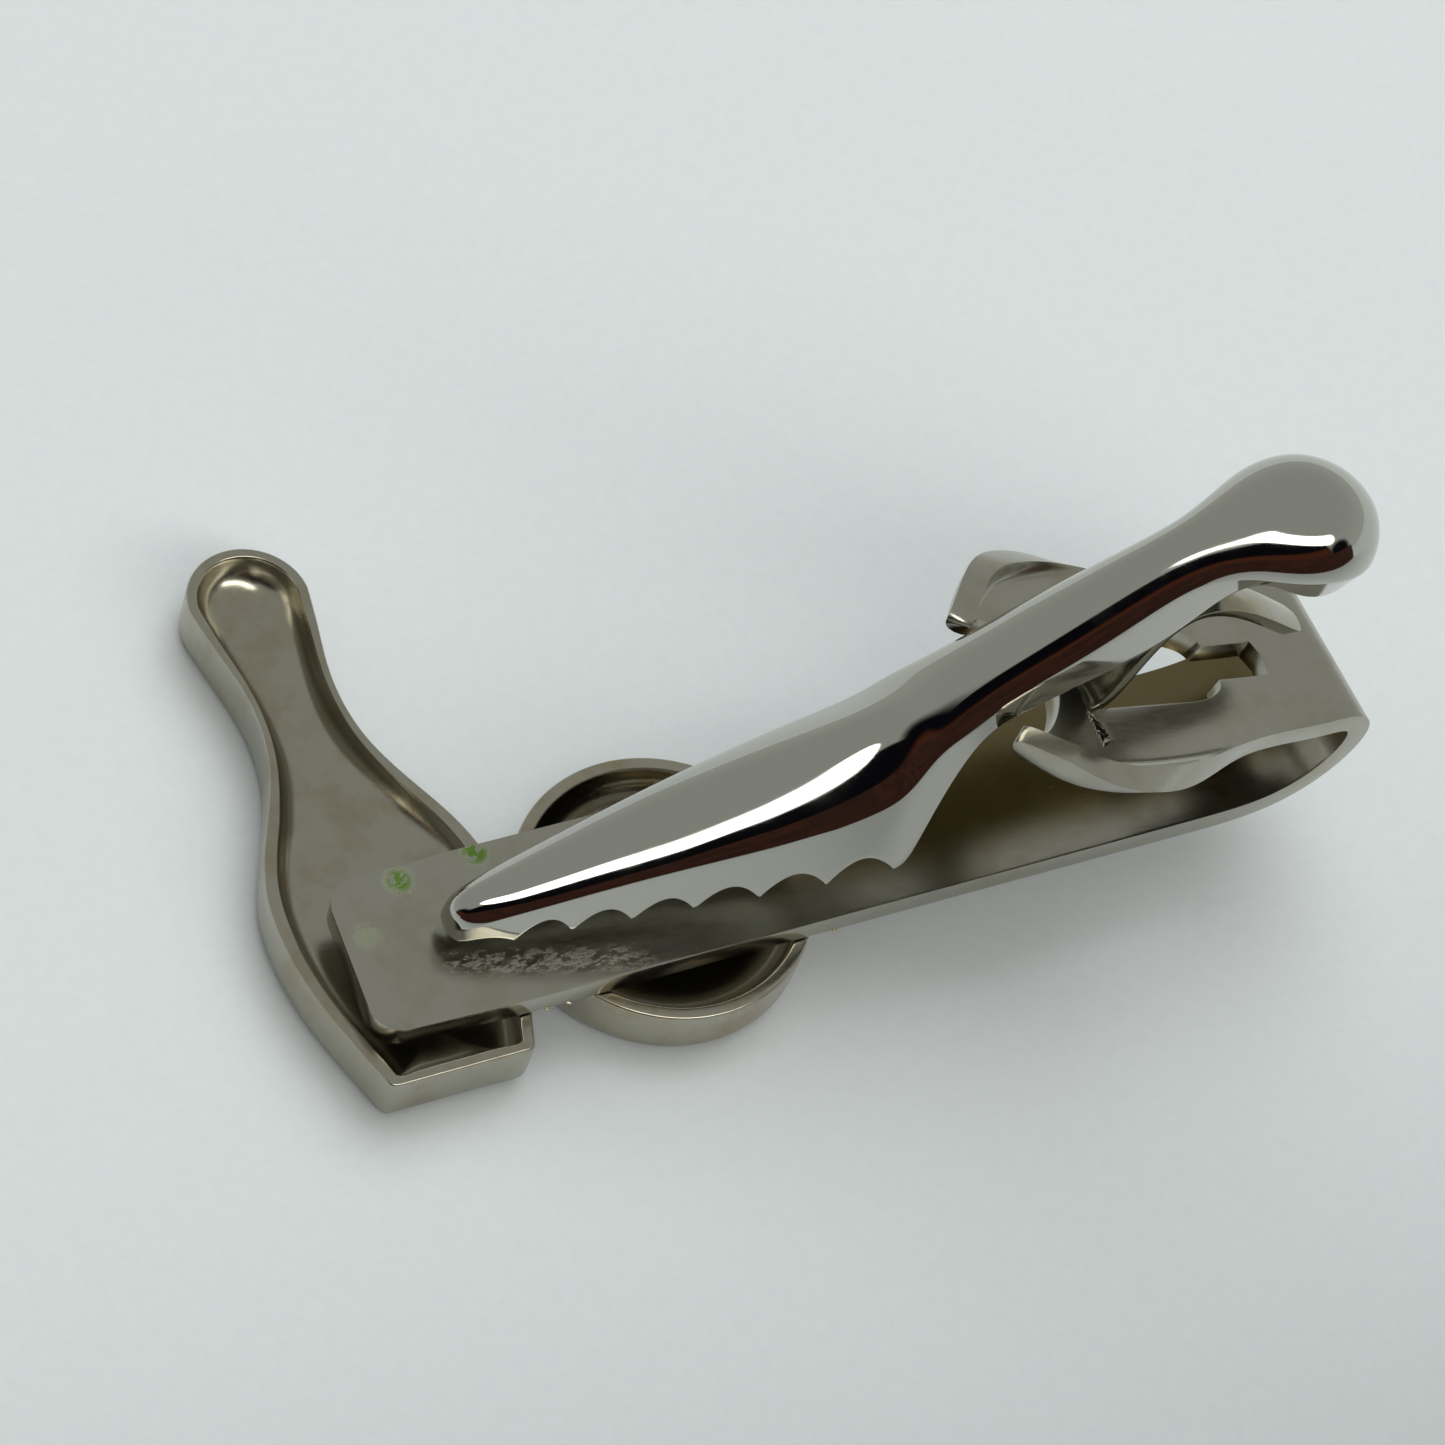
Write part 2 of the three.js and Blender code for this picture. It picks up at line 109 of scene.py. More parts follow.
# The sleeve is only mirrored by the metal: no camera sees it.
sleeve_width, sleeve_height, sleeve_away = 160, 23, 42
bpy.ops.mesh.primitive_plane_add(size=1.0)
sleeve = bpy.context.object
sleeve.name = "dark_sleeve"
for corner in sleeve.data.vertices:
    across, raised = corner.co.x * sleeve_width, (corner.co.y + 0.5) * sleeve_height
    corner.co = Vector((across, -sleeve_away, raised)) * MM
sleeve.visible_camera = False


class Wire:
    """One output of a shader node. Arithmetic on it adds Math nodes."""

    def __init__(self, desk, socket):
        self.desk = desk
        self.socket = socket

    def _math(self, operation, *operands):
        return self.desk.node("ShaderNodeMath", {"operation": operation}, *operands)

    def __add__(self, other):
        return self._math("ADD", self, other)

    __radd__ = __add__

    def __sub__(self, other):
        return self._math("SUBTRACT", self, other)

    def __rsub__(self, other):
        return self._math("SUBTRACT", other, self)

    def __mul__(self, other):
        return self._math("MULTIPLY", self, other)

    __rmul__ = __mul__

    def __truediv__(self, other):
        return self._math("DIVIDE", self, other)

    def __pow__(self, other):
        return self._math("POWER", self, other)

    def clamped(self):
        return self._math("MAXIMUM", self._math("MINIMUM", self, 1.0), 0.0)

    def ramp(self, start, end):
        """0 below start and 1 above end, with a soft step between; end may lie below start."""
        settings = {"interpolation_type": "SMOOTHSTEP"}
        return self.desk.node("ShaderNodeMapRange", settings, self, start, end, 0.0, 1.0)


class Desk:
    """A node tree being wired: each call adds one node and gives back its output."""

    def __init__(self, tree):
        self.tree = tree

    def node(self, kind, settings=None, *inputs, out=0, **named):
        made = self.tree.nodes.new(kind)
        for name, value in (settings or {}).items():
            setattr(made, name, value)
        pairs = list(enumerate(inputs)) + [(name.replace("_", " "), v) for name, v in named.items()]
        for key, value in pairs:
            if value is None:
                continue
            if isinstance(value, Wire):
                self.tree.links.new(value.socket, made.inputs[key])
            else:
                made.inputs[key].default_value = value
        return Wire(self, made.outputs[out])

    def blend(self, factor, first, second):
        """A colour between two colours."""
        settings = {"data_type": "RGBA"}
        made = self.node("ShaderNodeMix", settings, out=2)
        node = made.socket.node
        for key, value in ((0, factor), (6, first), (7, second)):
            if isinstance(value, Wire):
                self.tree.links.new(value.socket, node.inputs[key])
            elif key == 0:
                node.inputs[key].default_value = value
            else:
                node.inputs[key].default_value = (*value, 1.0)
        return made

    def dot(self, direction, other):
        settings = {"operation": "DOT_PRODUCT"}
        return self.node("ShaderNodeVectorMath", settings, direction, tuple(other), out=1)


class Finish(Desk):
    """A material: its Principled shader, and the clip's own millimetres as coordinates."""

    def __init__(self, name, metallic, roughness, colour):
        self.material = bpy.data.materials.new(name)
        self.material.use_nodes = True
        super().__init__(self.material.node_tree)
        self.shader = self.tree.nodes["Principled BSDF"]
        self.shader.inputs["Metallic"].default_value = metallic
        self.shader.inputs["Roughness"].default_value = roughness
        self.shader.inputs["Base Color"].default_value = (*colour, 1.0)
        coordinates = self.node("ShaderNodeTexCoord", out=3)
        self.place = self.node(
            "ShaderNodeMapping", None, coordinates, Scale=(1000.0, 1000.0, 1000.0),
        )
        split = self.tree.nodes.new("ShaderNodeSeparateXYZ")
        self.tree.links.new(self.place.socket, split.inputs[0])
        self.x, self.y, self.z = (Wire(self, socket) for socket in split.outputs)

    def set(self, name, wire):
        self.tree.links.new(wire.socket, self.shader.inputs[name])

    def noise(self, scale, detail=3.0, rough=0.5, stretch=(1.0, 1.0, 1.0), turn=0.0):
        """Cloudy noise from 0 to 1, scale lumps to the millimetre."""
        grain = self.node(
            "ShaderNodeMapping", None, self.place, Scale=stretch, Rotation=(0.0, 0.0, turn),
        )
        return self.node(
            "ShaderNodeTexNoise", None, Vector=grain, Scale=scale, Detail=detail, Roughness=rough,
        )

    def spot(self, x, y, z, radius, soft):
        """1 inside a round spot of the clip's own space, 0 outside it."""
        settings = {"operation": "DISTANCE"}
        away = self.node("ShaderNodeVectorMath", settings, self.place, (x, y, z), out=1)
        return away.ramp(radius + soft, radius - soft)

    def relief(self, height, depth, strength=1.0):
        """Bump of the given depth in millimetres."""
        return self.node(
            "ShaderNodeBump", None, Strength=strength, Distance=depth * MM, Height=height,
        )

    def give(self, piece):
        piece.data.materials.clear()
        piece.data.materials.append(self.material)


sheet = Finish("pale_matt_sheet", 0.0, 0.62, (0.62, 0.65, 0.66))
sheet_grain = sheet.noise(1.6, 4.0)
sheet_grain = sheet_grain.ramp(0.3, 0.7)
sheet.set("Base Color", sheet.blend(sheet_grain, (0.61, 0.64, 0.65), (0.625, 0.655, 0.665)))
sheet.set("Normal", sheet.relief(sheet.noise(3.0, 4.0), 0.03, 0.4))
sheet.give(table)

cloth = Finish("dark_sleeve_cloth", 0.0, 0.9, (0.055, 0.015, 0.008))
weave = cloth.noise(0.4, 3.0)
weave = weave.ramp(0.35, 0.65)
cloth.set("Base Color", cloth.blend(weave, (0.075, 0.021, 0.011), (0.04, 0.011, 0.006)))
cloth.give(sleeve)

world = bpy.data.worlds.new("room")
world.use_nodes = True
bpy.context.scene.world = world
world.node_tree.nodes.clear()
room = Desk(world.node_tree)
toward = room.node("ShaderNodeTexCoord", out=0)
height = room.dot(toward, (0, 0, 1))


def heading(from_top, turn):
    """A unit direction: degrees down from straight up, degrees round from +X towards +Y."""
    down, round_z = math.radians(from_top), math.radians(turn)
    return (
        math.sin(down) * math.cos(round_z), math.sin(down) * math.sin(round_z), math.cos(down),
    )


def patch(from_top, turn, spread, soft):
    """1 in a round patch of the sky, 0 outside it, spread and soft in degrees."""
    inner, outer = math.cos(math.radians(spread)), math.cos(math.radians(spread + soft))
    return room.dot(toward, heading(from_top, turn)).ramp(outer, inner)


# Pale walls and ceiling; in front, dark clothing with a warm brown below it.
walls = room.blend(height.ramp(-0.1, 0.6), (0.50, 0.51, 0.485), (0.42, 0.43, 0.41))
in_front = (patch(86, -100, 40, 4) + patch(92, -145, 30, 12)).clamped()
warm = height.ramp(0.34, 0.24)
clothing = room.blend(warm, (0.004, 0.004, 0.006), (0.085, 0.026, 0.014))
surroundings = room.blend(in_front, walls, clothing)
surroundings = room.blend(patch(82, -48, 8, 6), surroundings, (0.006, 0.006, 0.008))
# A row of windows bends round from overhead to the right.
lamps = patch(34, -118, 5, 3)
for step in range(1, 12):
    lamps = lamps + patch(34 + 2.6 * step, -118 + 5.6 * step, 5, 3)
surroundings = room.blend(lamps.clamped(), surroundings, (5.0, 5.0, 4.8))
seen_direct = room.node("ShaderNodeLightPath", out=0)
surroundings = room.blend(seen_direct, surroundings, (0.64, 0.67, 0.68))
backdrop = room.node("ShaderNodeBackground", None, surroundings, 1.0)
world_end = world.node_tree.nodes.new("ShaderNodeOutputWorld")
world.node_tree.links.new(backdrop.socket, world_end.inputs[0])

# ---------------------------------------------------------------------------
# Bowling ball. A round cup stamped from thin brass and plated; its open back
# faces up and the bar is soldered across the rim.
# ---------------------------------------------------------------------------

cup_low, cup_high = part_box("bowling_ball_shell")
cup_depth = (cup_high[2] - cup_low[2]) / MM
skin_depth = 2.4

# The cup's skin from the middle of its front, out and up its wall, over the rim and down
# the dished back: how far in from the outline, and the height.
cup_skin = [
    [4.0, 0.0], [1.6, 0.0], [0.9, 0.0], [0.55, 0.03], [0.3, 0.1], [0.12, 0.28], [0.02, 0.55],
    [0.0, 0.9], [0.0, 1.5], [0.0, 2.05], [0.0, 2.25], [0.02, 2.36], [0.1, 2.41], [0.22, 2.41],
    [0.36, 2.41], [0.47, 2.4], [0.53, 2.33], [0.56, 2.2], [0.6, 1.95], [0.78, 1.6],
    [1.15, 1.28], [1.7, 1.08], [2.5, 1.0], [5.0, 1.0],
]


def deselect():
    if bpy.context.object and bpy.context.object.mode == "EDIT":
        bpy.ops.object.mode_set(mode="OBJECT")
    bpy.ops.object.select_all(action="DESELECT")


def pressed_grid(name, rows, columns, place):
    """A flat grid of faces pressed to shape: place(u, v) gives each corner in millimetres."""
    deselect()
    bpy.ops.mesh.primitive_grid_add(x_subdivisions=columns, y_subdivisions=rows, size=1.0)
    piece = bpy.context.object
    piece.name = name
    for corner in piece.data.vertices:
        across, along = corner.co.x + 0.5, corner.co.y + 0.5
        corner.co = Vector(place(along, across)) * MM
    bpy.ops.object.mode_set(mode="EDIT")
    bpy.ops.mesh.select_all(action="SELECT")
    bpy.ops.mesh.remove_doubles(threshold=0.002 * MM)
    bpy.ops.object.mode_set(mode="OBJECT")
    return piece


def apply_all(piece):
    deselect()
    piece.select_set(True)
    bpy.context.view_layer.objects.active = piece
    for modifier in list(piece.modifiers):
        bpy.ops.object.modifier_apply(modifier=modifier.name)


def thicken(piece, wall, rounding, steps=3, offset=-1.0):
    """Give a pressed sheet its wall and break its cut edges."""
    solid = piece.modifiers.new("wall", "SOLIDIFY")
    solid.thickness = wall * MM
    solid.offset = offset
    apply_all(piece)
    bevel = piece.modifiers.new("edge", "BEVEL")
    bevel.width = rounding * MM
    bevel.segments = steps
    bevel.limit_method = "ANGLE"
    bevel.angle_limit = math.radians(50)
    bevel.use_clamp_overlap = True
    apply_all(piece)
    bpy.ops.object.shade_smooth()


def flow(stations, t):
    """A smooth curve led by a row of stations; t runs from 0 to 1 along it."""
    last = len(stations) - 1
    at = min(max(t, 0.0), 1.0) * last
    i = min(int(at), last - 1)
    f = at - i

    def station(k):
        if k < 0:
            return [2 * a - b for a, b in zip(stations[0], stations[1])]
        if k > last:
            return [2 * a - b for a, b in zip(stations[last], stations[last - 1])]
        return stations[k]

    weights = (
        (1 - f) ** 3 / 6, (3 * f ** 3 - 6 * f ** 2 + 4) / 6,
        (-3 * f ** 3 + 3 * f ** 2 + 3 * f + 1) / 6, f ** 3 / 6,
    )
    near = [station(i + k) for k in (-1, 0, 1, 2)]
    return [sum(w * s[c] for w, s in zip(weights, near)) for c in range(len(stations[0]))]


def stamped(rim_ring, spine_ring):
    """A stamped cup: v runs round the outline, u along the cup's skin."""
    count = len(rim_ring)

    def place(u, v):
        i = round(v * count) % count
        rim, spine = Vector(rim_ring[i]), Vector(spine_ring[i])
        inset, z = flow(cup_skin, u)
        share = min(inset / max((spine - rim).length, 3.0), 1.0) if 0 < u < 1 else 1.0
        at = rim.lerp(spine, share)
        return (at.x, at.y, z * cup_depth / skin_depth)

    return place


ball_steps = 120
ball_radius = (cup_high[0] - cup_low[0]) / 2 / MM
ball_rim = [
    (ball_radius * math.cos(2 * math.pi * i / ball_steps),
     ball_radius * math.sin(2 * math.pi * i / ball_steps))
    for i in range(ball_steps)
]
ball = pressed_grid("ball_cup", 92, ball_steps, stamped(ball_rim, [(0.0, 0.0)] * ball_steps))
bpy.ops.object.mode_set(mode="EDIT")
bpy.ops.mesh.normals_make_consistent(inside=False)
bpy.ops.object.mode_set(mode="OBJECT")
bpy.ops.object.shade_smooth()


def plate(name, roughness, colour, stain):
    """Worn nickel plate: cloudy roughness, fine rubbing marks and a faint warm stain."""
    finish = Finish(name, 1.0, roughness, colour)
    clouds = finish.noise(0.55, 4.0, 0.6)
    rubs = finish.noise(5.0, 3.0, 0.6, (0.25, 1.6, 1.0), 0.4)
    finish.clouds = clouds
    finish.rubs = rubs
    finish.colour = finish.blend(clouds.ramp(0.42, 0.72) * 0.8, colour, stain)
    finish.set("Base Color", finish.colour)
    finish.set("Roughness", (clouds - 0.5) * 0.16 + (rubs - 0.5) * 0.12 + roughness)
    finish.set("Normal", finish.relief(rubs + finish.noise(14.0, 2.0) * 0.6, 0.004, 0.5))
    return finish


cup_metal = plate("stamped_cup_plate", 0.2, (0.42, 0.40, 0.33), (0.36, 0.29, 0.18))
cup_metal.give(ball)
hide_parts("bowling_ball_shell")
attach(ball, "clip_base")

# ---------------------------------------------------------------------------
# Bowling pin. A second stamped cup in the outline of a pin, lying across the
# left end of the bar, its back open; the bar is soldered to its right rim.
# ---------------------------------------------------------------------------

pin_axis = -9.8
pin_foot = -4.7
pin_head = 15.5
pin_head_radius = 2.3

# Half widths from the foot to the head, evenly spaced along the pin.
pin_half_widths = [
    [2.75], [3.3], [3.83], [4.16], [4.25], [4.1], [3.45], [2.55], [1.85], [1.6], [1.68],
    [2.05], [2.3],
]


def pin_ring():
    side = []
    for i in range(73):
        t = i / 72
        side.append((flow(pin_half_widths, t)[0], pin_foot + (pin_head - pin_foot) * t))
    for i in range(1, 17):
        a = math.pi / 2 * i / 16
        side.append((pin_head_radius * math.cos(a), pin_head + pin_head_radius * math.sin(a)))
    mirrored = [(-x, y) for x, y in reversed(side[:-1])]
    foot = [(-2.62, -0.1), (-2.4, -0.13)]
    foot += [(-2.4 + 4.8 * i / 8, -0.13) for i in range(1, 8)]
    foot += [(2.4, -0.13), (2.62, -0.1)]
    return side + mirrored + [(x, pin_foot + y) for x, y in foot]


pin_outline = pin_ring()
pin_rim = [(pin_axis + x, y) for x, y in pin_outline]
pin_spine = [(pin_axis, min(max(y, pin_foot + 2.4), pin_head)) for x, y in pin_outline]
pin = pressed_grid("pin_cup", 92, len(pin_rim), stamped(pin_rim, pin_spine))
bpy.ops.object.mode_set(mode="EDIT")
bpy.ops.mesh.normals_make_consistent(inside=False)
bpy.ops.object.mode_set(mode="OBJECT")
bpy.ops.object.shade_smooth()
pin_metal = plate("stamped_pin_plate", 0.22, (0.41, 0.395, 0.33), (0.36, 0.31, 0.22))
pin_metal.give(pin)
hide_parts("bowling_pin_shell")
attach(pin, "clip_base")

# ---------------------------------------------------------------------------
# Folded strip. One strip of spring brass, plated: a straight bar, a hairpin at
# the right, and a leaf that slopes back over the bar and spreads into two ears
# whose edges curl up and hold the lever. A window is punched through the leaf.
# ---------------------------------------------------------------------------

strip_low, strip_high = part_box("folded_strip")
strip_z = strip_low[2] / MM
strip_y = -0.28
strip_half = 3.22
strip_sheet = 0.9
strip_left = -12.4
corner_radius = 1.1

# The line down the middle of the sheet: bar, hairpin, leaf.
strip_line = [
    [-12.4, 0.46], [-4.0, 0.46], [5.0, 0.46], [14.0, 0.46], [20.0, 0.46], [22.2, 0.5],
    [23.7, 0.9], [24.9, 1.8], [25.7, 3.1], [25.95, 4.4], [25.5, 5.25], [24.3, 5.25],
    [22.7, 5.35], [20.6, 5.85], [18.2, 6.55], [15.8, 7.26], [13.4, 7.93], [11.5, 8.46], [9.9, 8.9],
]
bar_end, fold_end = 4, 12

# Ears at even steps from the fold to their tips: half width, curl angle, curl
# radius and the straight wall above the curl.
ears = [
    [3.22, 0, 1.5, 0.0], [3.3, 2, 1.5, 0.0], [3.6, 8, 1.5, 0.02], [4.1, 20, 1.4, 0.05],
    [4.58, 34, 1.3, 0.1], [4.88, 48, 1.2, 0.18], [4.98, 60, 1.1, 0.28], [4.85, 70, 1.0, 0.4],
    [4.3, 80, 0.9, 0.55], [2.45, 88, 0.7, 0.5],
]
ears_from, ears_to = 22.7, 10.1
window_start, window_end = 13.75, 23.5
window_wide, window_tail = 1.62, 0.75
narrowing, narrowed_over = 18.4, 1.9
# The gap between the ears takes this share of the leaf's width and is this deep.
gap_share, gap_mouth, gap_depth = 0.56, 11.15, 1.85
ear_reach, ear_rounding = 1.05, 1.25


def window_half(x):
    """Half the window's width at x: a wide part, then a narrower rounded tail."""
    if x <= window_start or x >= window_end:
        return 0.0
    wide = window_wide * min(1.0, (x - window_start) / 0.05)
    neck = min(1.0, max(0.0, (x - narrowing) / narrowed_over))
    width = wide + (window_tail - wide) * (1 - math.sqrt(1 - neck ** 2.2))
    left = window_end - x
    if left > window_tail:
        return width
    return min(width, math.sqrt(window_tail ** 2 - (window_tail - left) ** 2))


def ear_end(f):
    """Where the leaf ends in x, f from its middle to its edge: the gap between the ears."""
    if f < gap_share:
        return gap_mouth + gap_depth * math.cos(f / gap_share * math.pi / 2)
    out = (f - gap_share) / (1 - gap_share)
    tip = gap_mouth - ear_reach * math.sin(min(1.0, out / 0.6) * math.pi / 2)
    return tip + ear_rounding * max(0.0, (out - 0.5) / 0.5) ** 2.4


def strip_place(side):
    """Half of the strip: u runs from the bar's end to the ear's, v from the middle out."""
    spans = len(strip_line) - 1

    def index_at(x):
        low, high = float(fold_end), float(spans)
        for _ in range(30):
            middle = (low + high) / 2
            if flow(strip_line, middle / spans)[0] > x:
                low = middle
            else:
                high = middle
        return (low + high) / 2

    ends = {}

    def place(u, v):
        if v not in ends:
            ends[v] = index_at(ear_end(v))
        if u < 0.2:
            index = bar_end * (u / 0.2) ** 1.7
        elif u < 0.45:
            index = bar_end + (fold_end - bar_end) * (u - 0.2) / 0.25
        else:
            index = fold_end + (ends[v] - fold_end) * (u - 0.45) / 0.55
        x, z = flow(strip_line, index / spans)
        ahead = flow(strip_line, min(index + 0.01, spans) / spans)
        behind = flow(strip_line, max(index - 0.01, 0) / spans)
        lean_x, lean_z = ahead[0] - behind[0], ahead[1] - behind[1]
        size = math.hypot(lean_x, lean_z)
        normal = (lean_z / size, -lean_x / size)
        if index <= fold_end:
            inset = max(0.0, corner_radius - (x - strip_left))
            half = strip_half - (corner_radius - math.sqrt(corner_radius ** 2 - inset ** 2))
            half -= 0.16 * max(0.0, 1 - (x - strip_left) / 5.0)
            x += 0.055 * side * half * v * max(0.0, 1 - (x - strip_left) / 3.0)
            return (x, strip_y + side * half * v, strip_z + z)
        half, angle, radius, wall = flow(ears, (ears_from - x) / (ears_from - ears_to))
        arc = math.radians(max(angle, 0.01))
        floor = half - radius * math.sin(arc) - wall * math.cos(arc)
        length = floor + radius * arc + wall
        inner = window_half(x)
        d = length * v + inner * max(0.0, 1 - v / 0.6)
        if d <= floor:
            out, rise = d, 0.0
        elif d <= floor + radius * arc:
            a = (d - floor) / radius
            out, rise = floor + radius * math.sin(a), radius * (1 - math.cos(a))
        else:
            over = d - floor - radius * arc
            out = floor + radius * math.sin(arc) + over * math.cos(arc)
            rise = radius * (1 - math.cos(arc)) + over * math.sin(arc)
        return (x + normal[0] * rise, strip_y + side * out, strip_z + z + normal[1] * rise)

    return place


near_half = pressed_grid("strip", 300, 30, strip_place(-1))
far_half = pressed_grid("strip_far", 300, 30, strip_place(1))
deselect()
far_half.select_set(True)
near_half.select_set(True)
bpy.context.view_layer.objects.active = near_half
bpy.ops.object.join()
strip = near_half
bpy.ops.object.mode_set(mode="EDIT")
bpy.ops.mesh.select_all(action="SELECT")
bpy.ops.mesh.remove_doubles(threshold=0.004 * MM)
bpy.ops.mesh.normals_make_consistent(inside=False)
bpy.ops.object.mode_set(mode="OBJECT")
thicken(strip, strip_sheet, 0.12, offset=0.0)

strip_metal = plate("folded_strip_plate", 0.2, (0.42, 0.41, 0.355), (0.38, 0.35, 0.27))
# Scuffs where the jaw's nose has rubbed the bar, and a little verdigris by the solder.
bar_top = strip_z + 0.92
mouth = (strip_metal.x + 9.2) * 0.235 + strip_metal.y + 1.35
scuffs = strip_metal.noise(3.4, 5.0, 0.7, (0.7, 1.5, 1.0), 0.3)
scuffed = (mouth ** 2.0).ramp(0.5, 0.0) * strip_metal.x.ramp(-9.6, -8.8)
scuffed = scuffed * strip_metal.x.ramp(-1.4, -3.4)
scuffed = scuffed * strip_metal.z.ramp(bar_top + 0.3, bar_top + 0.1) * scuffs.ramp(0.45, 0.62)
green = (
    strip_metal.spot(-6.5, 2.62, bar_top, 0.48, 0.2)
    + strip_metal.spot(-9.55, 2.3, bar_top, 0.5, 0.25)
    + strip_metal.spot(-11.45, 0.5, bar_top, 0.4, 0.35) * 0.5
).clamped() * strip_metal.noise(2.6, 4.0, 0.7).ramp(0.36, 0.5)
# Painted shade: a dark brown darkening painted on the bar where the fold and the leaf hang over it,
# and on the underside of the leaf.
painted_shade = strip_metal.x.ramp(-4.0, 7.0) * strip_metal.y.ramp(-3.4, -1.2)
painted_shade = painted_shade * strip_metal.x.ramp(26.2, 24.8)
under_leaf = (strip_metal.z + strip_metal.x * 0.29).ramp(14.55, 14.2)
painted_shade = (painted_shade * under_leaf * strip_metal.z.ramp(bar_top - 0.4, bar_top - 0.1) * 0.95).clamped()
# The painted shade under the leaf and the fold goes into the base colour here.
strip_colour = strip_metal.blend(painted_shade, strip_metal.colour, (0.17, 0.135, 0.06))
strip_colour = strip_metal.blend(scuffed * 0.6, strip_colour, (0.85, 0.82, 0.72))
strip_metal.set("Base Color", strip_metal.blend(green, strip_colour, (0.075, 0.15, 0.015)))
strip_metal.set("Metallic", 1 - green * 0.9)
strip_rough = (strip_metal.clouds - 0.5) * 0.14 + (strip_metal.rubs - 0.5) * 0.14 + 0.22
strip_metal.set("Roughness", strip_rough + scuffed * 0.1 + green * 0.5)
strip_relief = strip_metal.rubs * 0.6 + scuffed * scuffs * 4.0
strip_metal.set("Normal", strip_metal.relief(strip_relief, 0.006, 0.5))
strip_metal.give(strip)
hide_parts("folded_strip")
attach(strip, "clip_base")

# ---------------------------------------------------------------------------
# Spring tongue. Struck up out of the window in one piece with the leaf: a wide
# root by the ears, an arch that pushes the lever's tail up, and a narrow tail.
# ---------------------------------------------------------------------------

tongue_sheet = 0.6
# Along the middle of the sheet: x, height over the bar's underside, half width.
tongue_line = [
    [13.8, 7.84, 1.5], [14.3, 7.8, 1.48], [14.8, 8.1, 1.43], [15.2, 8.9, 1.35], [15.6, 9.95, 1.28],
    [16.25, 10.85, 1.12], [17.3, 11.25, 0.85], [18.5, 11.1, 0.64], [19.8, 10.5, 0.56],
    [21.2, 9.5, 0.54], [22.4, 8.5, 0.53], [23.25, 7.8, 0.48],
]


def tongue_place(u, v):
    x, z, half = flow(tongue_line, u)
    ahead, behind = flow(tongue_line, u + 0.002), flow(tongue_line, u - 0.002)
    along = Vector((ahead[0] - behind[0], 0, ahead[1] - behind[1])).normalized()
    side = 2 * v - 1
    half *= math.sqrt(max(0.0, 1 - max(0.0, (u - 0.965) / 0.05) ** 2)) if u > 0.965 else 1.0
    lift = 0.1 * (1 - side ** 2)
    return (x - along.z * lift, strip_y + half * side, strip_z + z + along.x * lift)


tongue = pressed_grid("tongue", 120, 20, tongue_place)
bpy.ops.object.mode_set(mode="EDIT")
bpy.ops.mesh.normals_make_consistent(inside=False)
bpy.ops.object.mode_set(mode="OBJECT")
thicken(tongue, tongue_sheet, 0.1, offset=0.0)
tongue_metal = plate("spring_tongue_plate", 0.17, (0.38, 0.37, 0.30), (0.30, 0.25, 0.16))
tongue_metal.give(tongue)
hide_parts("spring_tongue")
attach(tongue, "tongue")

# ---------------------------------------------------------------------------
# Jaw lever. One deep-drawn, mirror-polished channel, open below: a rounded nose
# and toothed skirts, a shoulder, a waist held by the ears, and a ball for the
# thumb at the tail.
# ---------------------------------------------------------------------------

lever_wall = 0.42
lever_edge = 0.1
